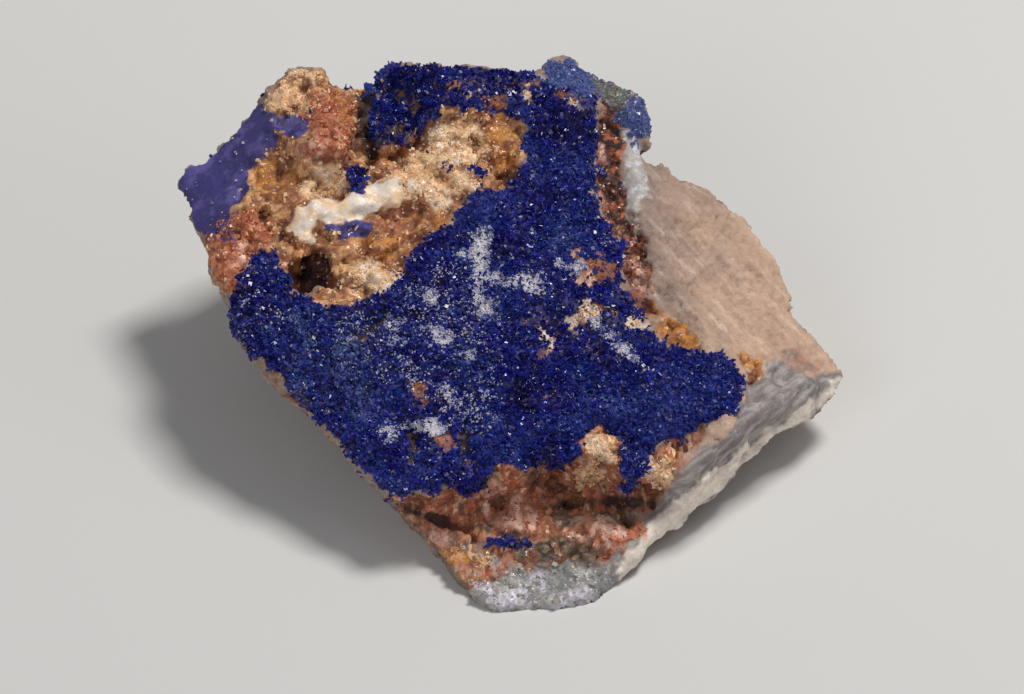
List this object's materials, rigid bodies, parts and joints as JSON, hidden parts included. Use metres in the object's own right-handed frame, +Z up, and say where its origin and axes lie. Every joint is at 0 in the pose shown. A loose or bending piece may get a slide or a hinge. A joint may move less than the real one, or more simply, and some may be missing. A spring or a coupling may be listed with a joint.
{
  "type": "azurite specimen",
  "caption": "Broken wedge of pale limestone with a deep blue azurite crust over its tilted upper face, resting on its flat lowest break.",
  "frame": {"origin": "under the middle of the stone's box, level with its flat lowest break", "axes": "+X along the longest extent, towards the pale tip; +Y away from the tilted azurite face, which leans towards -Y; +Z up"},
  "size_m": [0.0512, 0.0454, 0.0204],
  "materials": {
    "azurite": "fine sparkling blue crystal crust",
    "limestone": "rough pale broken limestone, stained by iron",
    "calcite": "white, slightly translucent grains",
    "malachite": "pale blue-green velvety grains",
    "limonite": "earthy rust-orange iron crust"
  },
  "bodies": {
    "root": {"azurite_specimen": "azurite"}
  },
  "joints": []
}
